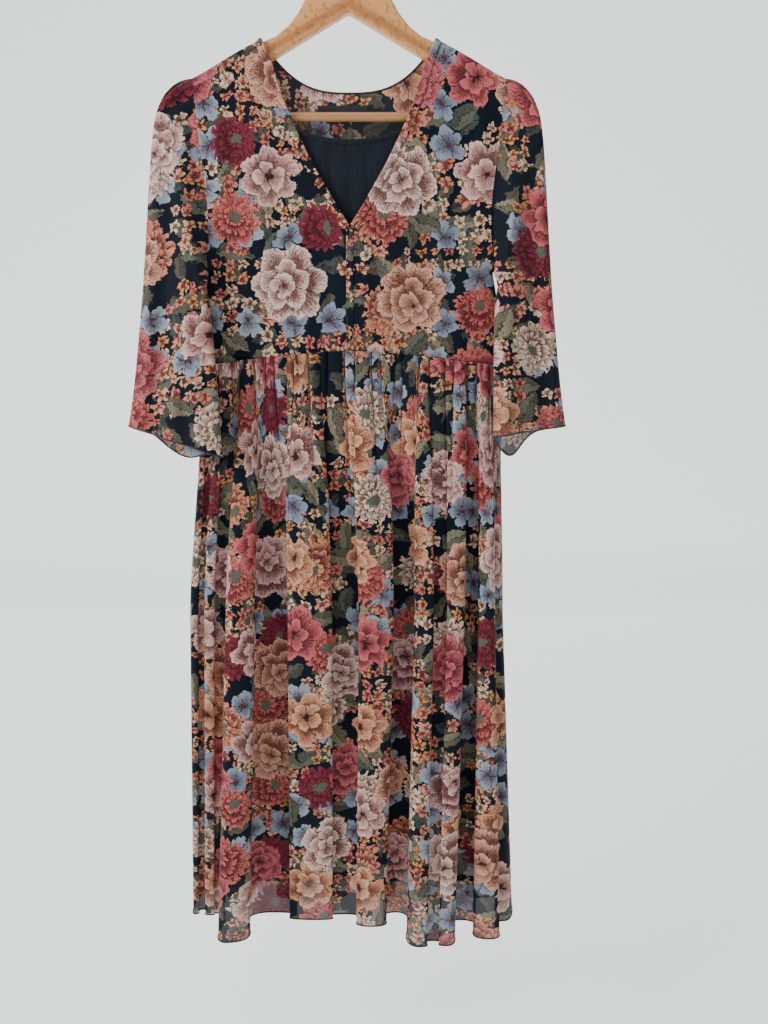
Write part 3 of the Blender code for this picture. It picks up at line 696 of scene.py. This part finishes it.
x = np.linspace(-0.040, 0.022, 40)
label_share = np.array([0.0, 0.0, 0.03, 0.5, 0.97, 1.0, 1.0])
label_lift = np.array([0.0001, 0.0006, 0.0009, 0.0009, 0.0009, 0.0006, 0.0001])
z = blend(-0.2095, -0.2235, label_share)[:, None] + 0 * x[None, :]
surface = bodice_point(x[None, :] + 0 * z, z, 0 * z, 1, BACK_CREASES, wrap=False)
surface[..., 1] -= label_lift[:, None] + 0.0004
flat = np.stack([x[None, :] + 0 * z, z], -1)
label = cloth("neck_label_cloth", surface, flat, LABEL_TAPE)


# Slip: a plain dark shift inside the dress, with a bound scoop neck.
# Thin matt lining, cut narrower than the dress, hung by its shoulders; it ends above the hem.
SLIP_EDGE = (
    [-0.1685, -0.26, -0.33, -0.42, -0.52, -0.85, -1.275],
    [0.164, 0.156, 0.156, 0.166, 0.172, 0.184, 0.2],
)
SLIP_NECK_X = 0.1170
SCOOP_BEND = 2.6
SLIP_TOP_OFFSET = 0.0020
SLIP_HEM_Z = -1.275


def slip_lining_with_painted_sheen():
    material = bpy.data.materials.new("slip_lining")
    material.use_nodes = True
    tree = material.node_tree
    shader = tree.nodes["Principled BSDF"]
    flat = Signal(tree).node("UVMap", {"uv_map": "cloth"})
    stretched = flat.node("Mapping", {}, {"Vector": flat, "Scale": (420.0, 40.0, 1.0)})
    wrinkles_and_sheen = flat.node("TexNoise", {"noise_dimensions": "2D"}, {"Vector": stretched, "Scale": 1.0, "Detail": 3.0})
    weave = flat.node("TexNoise", {"noise_dimensions": "2D"}, {"Vector": flat, "Scale": 1100.0, "Detail": 2.0})
    # Painted sheen: the dark lining is painted a paler grey along its fine vertical wrinkles, as if they caught
    # the light. The same wrinkles also make the bump.
    painted(linear(11, 17, 25), linear(34, 42, 52), wrinkles_and_sheen ** 2 * (weave + 0.35)).feed(
        shader.inputs["Base Color"])
    height = wrinkles_and_sheen * 0.8 + weave * 0.25
    height.node("Bump", {}, {"Strength": 0.5, "Distance": 0.0005, "Height": height}).feed(
        shader.inputs["Normal"])
    shader.inputs["Roughness"].default_value = 0.62
    shader.inputs["Specular IOR Level"].default_value = 0.15
    shader.inputs["Sheen Weight"].default_value = 0.12
    shader.inputs["Sheen Roughness"].default_value = 0.4
    return material


LINING = slip_lining_with_painted_sheen()


def slip_top(x, scoop_z):
    place = np.abs(x)
    strap = through(*SHOULDER_LINE, place) - SLIP_TOP_OFFSET
    neck_end = through(*SHOULDER_LINE, SLIP_NECK_X) - SLIP_TOP_OFFSET - 0.001
    rise = neck_end - (scoop_z + SCOOP_BEND * SLIP_NECK_X ** 2)
    scoop = scoop_z + SCOOP_BEND * x * x + rise * (place / SLIP_NECK_X) ** 12
    return np.where(place > SLIP_NECK_X * 1.001, strap, scoop)


def slip_point(across, z, top_z, facing):
    place = np.abs(across)
    edge = through(*SLIP_EDGE, z)
    x = place + (edge - 0.164) * (place / 0.164) ** 2
    depth = blend(0.0075, 0.0125, ease((-0.22 - z) / 0.50))
    ripple = np.sin(210 * across + 2.2 * np.sin(7 * z) + 1.7 * np.sin(31 * across))
    depth = depth + 0.0003 * ripple * ease((top_z - z) / 0.012)
    closing = 1 - round_off((z + 0.42) / 0.045)
    depth = depth * (1 - closing * (1 - round_off(1 - np.minimum(x / edge, 1.0))))
    over_shoulder = ease((place / SLIP_NECK_X - 1) / 0.013)
    depth = depth * (1 - over_shoulder * (1 - round_off((top_z - z) / 0.007)))
    return grid(np.sign(across) * x, facing * np.maximum(depth, SEAM_GAP), z)


SLIP_PIECES = []
slip_places = np.concatenate([
    np.linspace(0, 0.110, 56), np.linspace(0.112, 0.121, 8), np.linspace(0.124, 0.164, 26)])
across = np.concatenate([-slip_places[:0:-1], slip_places])
for name, facing, scoop_z in (("slip_front_cloth", -1, -0.2535), ("slip_back_cloth", 1, -0.300)):
    top_line = slip_top(across, scoop_z)
    z, spread = panel_rows(across, top_line, np.full_like(across, SLIP_HEM_Z), 120)
    points = slip_point(spread, z, np.repeat(top_line[None, :], 120, 0), facing)
    flat = np.stack([spread, z], -1)
    if facing > 0:
        points = points[:, ::-1]
        flat = flat[:, ::-1]
    piece = cloth(name, points, flat, LINING)
    inside = np.abs(across) < SLIP_NECK_X
    neck_x = across[inside]
    bound = []
    for depth_share in (0.0, 0.0, 0.15, 0.5, 0.85, 1.0, 1.0):
        neck_z = slip_top(neck_x, scoop_z) - 0.006 * depth_share
        bound.append(slip_point(neck_x, neck_z, slip_top(neck_x, scoop_z), facing))
    bound = np.array(bound)
    bound[..., 1] += facing * np.array([0.0, 0.0005, 0.0007, 0.0007, 0.0007, 0.0005, 0.0])[:, None]
    flat = np.stack([bound[..., 0], bound[..., 2]], -1)
    edge_band = cloth(name + "_binding", bound, flat, LINING)
    SLIP_PIECES.append((piece, edge_band))


# Sleeves: wide, elbow length, gathered into the armhole at the shoulder.
# Single chiffon with an underarm seam; they hang flat and forward, with a rolled hem.
RING_VALUES = np.array([
    (0.1925, -0.1830, 0.000, 0.1838, -0.4110, 0.000, 0.010, 0.00),
    (0.2040, -0.1850, 0.000, 0.1830, -0.4160, -0.009, 0.012, 0.10),
    (0.2170, -0.1920, -0.001, 0.1830, -0.4290, -0.019, 0.018, 0.30),
    (0.2305, -0.2055, -0.001, 0.1830, -0.4470, -0.0275, 0.019, 0.52),
    (0.2400, -0.2260, -0.002, 0.1760, -0.4680, -0.033, 0.018, 0.74),
    (0.2460, -0.2600, -0.005, 0.1730, -0.4940, -0.037, 0.015, 0.90),
    (0.2510, -0.3080, -0.008, 0.1705, -0.5210, -0.041, 0.014, 1.00),
    (0.2565, -0.3660, -0.012, 0.1685, -0.5490, -0.045, 0.013, 1.00),
    (0.2625, -0.4300, -0.017, 0.1665, -0.5770, -0.049, 0.013, 1.00),
    (0.2700, -0.4950, -0.022, 0.1650, -0.6030, -0.052, 0.013, 1.00),
    (0.2780, -0.5550, -0.026, 0.1635, -0.6260, -0.054, 0.013, 1.00),
    (0.2865, -0.6060, -0.030, 0.1620, -0.6440, -0.056, 0.013, 1.00),
])
SLEEVE_CREASES = [
    (0.200, -0.230, 0.196, -0.400, 0.0040, 0.0080),
    (0.222, -0.235, 0.222, -0.420, -0.0030, 0.0080),
    (0.238, -0.260, 0.246, -0.440, 0.0032, 0.0070),
    (0.206, -0.400, 0.196, -0.640, 0.0045, 0.0090),
    (0.228, -0.380, 0.232, -0.640, -0.0040, 0.0090),
    (0.250, -0.420, 0.262, -0.640, 0.0040, 0.0085),
    (0.183, -0.480, 0.178, -0.640, -0.0030, 0.0060),
]
SLEEVE_PIECES = {}
for name, side, inner_shift, outer_shift, inner_lift, back_drop, drop_place in (
    ("sleeve_right_cloth", -1, 0.000, 0.000, 0.000, 0.020, 0.55),
    ("sleeve_left_cloth", 1, 0.020, -0.009, 0.026, 0.034, 0.78),
):
    around = 129
    rows = 110
    index = (np.arange(rows) / (rows - 1))[:, None] ** 1.15 * 11 + np.zeros((rows, around))
    ring = [through(range(12), RING_VALUES[:, part], index) for part in range(8)]
    outer_x, outer_z, outer_y, inner_x, inner_z, inner_y, half_depth, freedom = ring
    down = index / 11
    angle = (2 * np.pi * np.arange(around) / (around - 1))[None, :] + np.zeros((rows, around))
    share = (1 - np.cos(angle)) / 2
    layer = np.where(np.sin(angle) >= -1e-9, -1.0, 1.0)
    width = np.abs(np.sin(angle))
    outer_x = outer_x + outer_shift * down
    inner_x = inner_x + inner_shift * down
    inner_z = inner_z + inner_lift * down
    x = blend(outer_x, inner_x, share)
    z = blend(outer_z, inner_z, share)
    lean = blend(2.0, 1.4, ease(index - 2))
    y = blend(outer_y, inner_y, share ** lean)
    first_z = blend(-0.1830, -0.4110, share)
    first_x = blend(0.1925, 0.1838, share)
    armhole_x = through(*BODICE_EDGE, first_z) - 0.0012
    armhole_depth = body_depth(first_z) * round_off((-0.1830 - first_z) / 0.007)
    armhole_depth = armhole_depth * round_off((first_z + 0.4110) / 0.045)
    armhole_depth = armhole_depth * (1 - ease(index) * share ** 4)
    x = x + (armhole_x - first_x) * (1 - freedom)
    y = y + layer * armhole_depth * (1 - freedom)
    y = y + layer * half_depth * width ** 0.6 * freedom
    gathers = np.sin(18 * angle + 0.9 * np.sin(5 * angle)) * ease((0.45 - share) / 0.3)
    y = y + layer * 0.0026 * gathers * ease(1 - np.abs(index - 2) / 2.2)
    fold = np.cos(2 * np.pi * 2.5 * share + 0.8 * layer)
    y = y - 0.0042 * fold * width * ease((down - 0.45) / 0.5)
    drop = np.exp(-((share - drop_place) / 0.26) ** 2) * (layer > 0)
    z = z - back_drop * drop * width * ease((down - 0.6) / 0.4)
    y = y - creased(x, z, SLEEVE_CREASES) * ease(width * 2.5) * freedom
    outer_line = through(RING_VALUES[:, 1], RING_VALUES[:, 0], z)
    flat = np.stack([(outer_line - x) * -layer + 0.3 * (1 + side), z + 0.05 * side], -1)
    points = grid(side * x, y, z)
    if side < 0:
        points = points[:, ::-1]
        flat = flat[:, ::-1]
    SLEEVE_PIECES[name] = (
        cloth(name, points, flat, CHIFFON, closed=True),
        rolled_edge(name + "_hem", points[-1, :-1], 0.0010, DARK_THREAD, round_trip=True),
    )


# Skirt: full and gathered into the waist seam, front and back joined at the sides.
# Single chiffon that falls in long soft folds, with a rolled and overlocked hem.
FRONT_FOLDS = [
    (-197, -225, -241, -0.3, -0.3, -0.3),
    (-190, -217, -236, -20, -24, -18),
    (-182, -205, -226, -18, -17, -8),
    (-172, -193, -214, -21, -36, -20),
    (-160, -179, -202, -18, -24, -16),
    (-133, -152, -179, -22, -58, -76),
    (-106, -112, -124, -18, -19, -14),
    (-60, -50, -56, -22, -52, -30),
    (-14, -8, -14, -18, -24, -18),
    (22, 34, 26, -22, -55, -44),
    (72, 73, 62, -17, -19, -14),
    (93, 97, 92, -22, -60, -84),
    (115, 118, 112, -19, -44, -72),
    (137, 138, 130, -22, -54, -82),
    (160, 160, 153, -18, -22, -30),
    (178, 181, 192, -21, -48, -69),
    (190, 200, 219, -17, -18, -32),
    (197, 208, 234, -0.3, -0.3, -0.3),
]
BACK_FOLDS = [
    (197, 208, 234, 0.3, 0.3, 0.3),
    (186, 196, 216, 20, 34, 44),
    (168, 176, 190, 18, 20, 18),
    (140, 146, 152, 22, 54, 70),
    (112, 112, 110, 18, 20, 18),
    (84, 82, 76, 22, 50, 60),
    (52, 48, 40, 18, 20, 17),
    (20, 14, 4, 22, 56, 76),
    (-12, -20, -32, 18, 21, 18),
    (-46, -54, -66, 22, 50, 62),
    (-80, -90, -100, 18, 20, 17),
    (-112, -124, -138, 22, 55, 72),
    (-144, -158, -176, 18, 20, 18),
    (-172, -192, -212, 21, 40, 46),
    (-197, -225, -241, 0.3, 0.3, 0.3),
]
# Gathers: waist place of each puff's two edges in millimetres, its depth, and how far it runs
# down before it fades, in millimetres
FRONT_GATHERS = [
    (-194, -181, 2.6, 90), (-181, -171, 3.0, 60), (-171, -154, 4.2, 150), (-154, -143, 3.0, 70),
    (-143, -124, 4.4, 210), (-124, -110, 3.4, 90), (-110, -99, 3.0, 60), (-99, -82, 4.4, 180),
    (-82, -73, 2.6, 50), (-73, -55, 4.2, 240), (-55, -40, 3.6, 110), (-40, -30, 2.8, 60),
    (-30, -8, 4.8, 200), (-8, 6, 3.4, 80), (6, 27, 4.6, 260), (27, 38, 3.0, 70),
    (38, 57, 4.2, 130), (57, 67, 2.8, 60), (67, 88, 4.6, 220), (88, 101, 3.4, 90),
    (101, 122, 4.6, 240), (122, 133, 3.0, 70), (133, 152, 4.4, 180), (152, 163, 3.0, 80),
    (163, 180, 4.0, 160), (180, 194, 2.8, 90),
]
BACK_GATHERS = [
    (-194, -176, 3.0, 110), (-176, -163, 3.2, 70), (-163, -141, 4.4, 190), (-141, -129, 3.0, 70),
    (-129, -108, 4.4, 220), (-108, -92, 3.4, 90), (-92, -72, 4.2, 160), (-72, -60, 3.0, 60),
    (-60, -38, 4.6, 230), (-38, -26, 3.0, 70), (-26, -4, 4.4, 200), (-4, 9, 3.2, 70),
    (9, 31, 4.6, 240), (31, 44, 3.0, 80), (44, 64, 4.2, 180), (64, 76, 3.0, 60),
    (76, 98, 4.6, 210), (98, 111, 3.2, 80), (111, 132, 4.4, 230), (132, 145, 3.0, 70),
    (145, 166, 4.4, 190), (166, 179, 3.0, 80), (179, 194, 2.8, 100),
]
SKIRT_LENGTH = WAIST_Z + 1.3245
MIDDLE_DROP = 0.340


def station(waist, middle, hem, drop):
    """Waist to middle to hem, leaving the waist straight down."""
    upper = blend(waist, middle, ease(0.86 * drop / MIDDLE_DROP) / float(ease(0.86)))
    lower = blend(middle, hem, (drop - MIDDLE_DROP) / (SKIRT_LENGTH - MIDDLE_DROP))
    return np.where(drop < MIDDLE_DROP, upper, lower)


def skirt_base(folds, place, drop):
    """Places across run from 0 to the number of folds; the result is in metres."""
    folds = np.asarray(folds, float)
    last = len(folds) - 2
    index = np.minimum(place.astype(int), last)
    share = place - index
    overhang = blend(0.35, 1.75, ease(drop / 0.20))
    lean = share + overhang * np.sin(2 * np.pi * share) / (2 * np.pi)
    swing = (1 - np.cos(np.pi * share)) / 2
    lean = np.where(index == 0, 1 - np.cos(np.pi * share / 2), lean)
    swing = np.where(index == 0, np.sin(np.pi * share / 2), swing)
    lean = np.where(index == last, np.sin(np.pi * share / 2), lean)
    swing = np.where(index == last, 1 - np.cos(np.pi * share / 2), swing)
    start = [folds[index, part] for part in range(6)]
    end = [folds[index + 1, part] for part in range(6)]
    x = blend(station(*start[:3], drop), station(*end[:3], drop), lean) * 0.001
    y = blend(station(*start[3:], drop), station(*end[3:], drop), swing) * 0.001
    return x, y


SKIRT_PIECES = {}
for name, folds, gathers, columns, rows, shift in (
    ("skirt_front_cloth", FRONT_FOLDS, FRONT_GATHERS, 420, 150, (0.9, 0.35)),
    ("skirt_back_cloth", BACK_FOLDS, BACK_GATHERS, 340, 110, (0.2, 1.4)),
):
    facing = -1 if folds[1][3] < 0 else 1
    fine = np.linspace(0, len(folds) - 1, 3000)
    waist_x, waist_y = skirt_base(folds, fine, np.zeros_like(fine))
    hem_x, hem_y = skirt_base(folds, fine, np.full_like(fine, 0.55))
    hem_run = np.concatenate([[0], np.cumsum(np.hypot(np.diff(hem_x), np.diff(hem_y)))])
    measure = hem_run / hem_run[-1] + np.abs(waist_x - waist_x[0]) / np.abs(waist_x[-1] - waist_x[0])
    places = np.interp(np.linspace(0, measure[-1], columns), measure, fine)
    flat_across = np.interp(places, fine, hem_run)
    drops = SKIRT_LENGTH * (np.arange(rows) / (rows - 1)) ** 1.35
    place = np.repeat(places[None, :], rows, 0)
    drop = np.repeat(drops[:, None], columns, 1)
    x, y = skirt_base(folds, place, drop)
    waist_mm = np.interp(places, fine, waist_x * 1000)[None, :]
    inner = ease(np.minimum(place, len(folds) - 1 - place) / 0.9)
    for first, last, depth, run in gathers:
        share = (waist_mm - first) / (last - first)
        held = (share > 0) & (share < 1)
        share = np.clip(share, 0, 1)
        spread = np.interp(drops, [0, SKIRT_LENGTH], [1.0, 1.25])[:, None]
        fade = np.exp(-((drop * 1000) / run) ** 1.6)
        puff = np.sin(np.pi * share) ** 0.8
        y = y + facing * held * inner * depth * 0.0017 * (puff - 0.55) * fade
        close = 0.90 * (last - first) * 0.001 * np.sin(2 * np.pi * share) / (2 * np.pi)
        x = x - np.sign(last - first) * held * inner * close * fade * spread
    top_z = waist_height(x) - SEAM_GAP / 2
    z = blend(top_z, -1.3245, drop / SKIRT_LENGTH)
    flat = np.stack([flat_across[None, :] + shift[0] + 0 * drop, z + shift[1]], -1)
    points = grid(x, y, z)
    SKIRT_PIECES[name] = (
        cloth(name, points, flat, CHIFFON),
        rolled_edge(name + "_hem", points[-1], 0.0010, DARK_THREAD),
    )
    print(name, "flat width", hem_run[-1])


# Hanger: flat arms cut from a board, a round bar, and a wire hook screwed into the crown.
# Clear-lacquered pale wood, its grain along each arm; the hook is plated steel wire.
def wood(name, lean, pale, brown, speckled):
    material = bpy.data.materials.new(name)
    material.use_nodes = True
    tree = material.node_tree
    shader = tree.nodes["Principled BSDF"]
    place = Signal(tree).node("TexCoord", {}, {}, "Object")
    parts = place.node("SeparateXYZ", {}, {0: place})
    along = abs(parts)
    level = parts.beside("Z") + along * lean
    grain_place = along.node("CombineXYZ", {}, {0: along * 2.2, 1: parts.beside("Y") * 30, 2: level * 26})
    bend = along.node("TexNoise", {}, {"Vector": grain_place, "Scale": 1.3, "Detail": 2.0})
    rings = ((level * 150 + bend * 7.5).maths("SINE") * 0.5 + 0.5) ** 3
    pores = along.node(
        "TexNoise",
        {},
        {"Vector": grain_place.node("Mapping", {}, {"Vector": grain_place, "Scale": (14.0, 14.0, 34.0)}),
         "Scale": 1.6, "Detail": 3.0},
    )
    fleck = along.node("TexNoise", {}, {"Vector": place, "Scale": speckled, "Detail": 2.0})
    colour = painted(pale, brown, rings * 0.62 + pores * 0.32)
    colour = painted(colour, linear(96, 60, 36), (fleck > 0.58) * 0.35)
    colour.feed(shader.inputs["Base Color"])
    height = rings * 0.4 + pores
    height.node("Bump", {}, {"Strength": 0.12, "Distance": 0.0006, "Height": height}).feed(
        shader.inputs["Normal"])
    (pores * 0.2 + 0.32).feed(shader.inputs["Roughness"])
    shader.inputs["Coat Weight"].default_value = 0.25
    shader.inputs["Coat Roughness"].default_value = 0.25
    return material


ARM_WOOD = wood("lacquered_arm_wood", 0.56, linear(226, 162, 98), linear(150, 90, 44), 180.0)
BAR_WOOD = wood("lacquered_bar_wood", 0.0, linear(214, 158, 106), linear(152, 98, 56), 420.0)
STEEL = bpy.data.materials.new("plated_hook_wire")
STEEL.use_nodes = True
steel_shader = STEEL.node_tree.nodes["Principled BSDF"]
steel_place = Signal(STEEL.node_tree).node("TexCoord", {}, {}, "Object")
scuff = steel_place.node("TexNoise", {}, {"Vector": steel_place, "Scale": 300.0, "Detail": 3.0})
(scuff * 0.2 + 0.16).feed(steel_shader.inputs["Roughness"])
painted(linear(206, 206, 208), linear(164, 164, 168), scuff).feed(steel_shader.inputs["Base Color"])
steel_shader.inputs["Metallic"].default_value = 1.0
for node, material in (("hanger_body", ARM_WOOD), ("hanger_bar", BAR_WOOD), ("hanger_hook", STEEL)):
    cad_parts[node].material_slots[0].material = material


# What each cloth piece stands for, what it was cut to, and what holds it.
fronts_right = BODICE_PIECES["bodice_front_right_cloth"]
fronts_left = BODICE_PIECES["bodice_front_left_cloth"]
back = BODICE_PIECES["bodice_back_cloth"]
for piece, node, slot in (
    (fronts_right, "bodice_front_right", "chiffon"),
    (fronts_left, "bodice_front_left", "chiffon"),
    (back, "bodice_back", "chiffon"),
    (band_right, "neck_band_right", "chiffon"),
    (band_left, "neck_band_left", "chiffon"),
    (placket, "front_placket", "chiffon"),
    (binding, "back_neck_binding", "trim"),
    (label, "neck_label", "trim"),
    (SLIP_PIECES[0][0], "slip_front", "slip"),
    (SLIP_PIECES[1][0], "slip_back", "slip"),
    (SLEEVE_PIECES["sleeve_right_cloth"][0], "sleeve_right", "chiffon"),
    (SLEEVE_PIECES["sleeve_left_cloth"][0], "sleeve_left", "chiffon"),
    (SKIRT_PIECES["skirt_front_cloth"][0], "skirt_front", "chiffon"),
    (SKIRT_PIECES["skirt_back_cloth"][0], "skirt_back", "chiffon"),
):
    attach(piece, "root")
    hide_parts(node)
extras = [SLIP_PIECES[0][1], SLIP_PIECES[1][1]]
extras += [pair[1] for pair in SLEEVE_PIECES.values()] + [pair[1] for pair in SKIRT_PIECES.values()]
for piece in extras:
    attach(piece, "root")
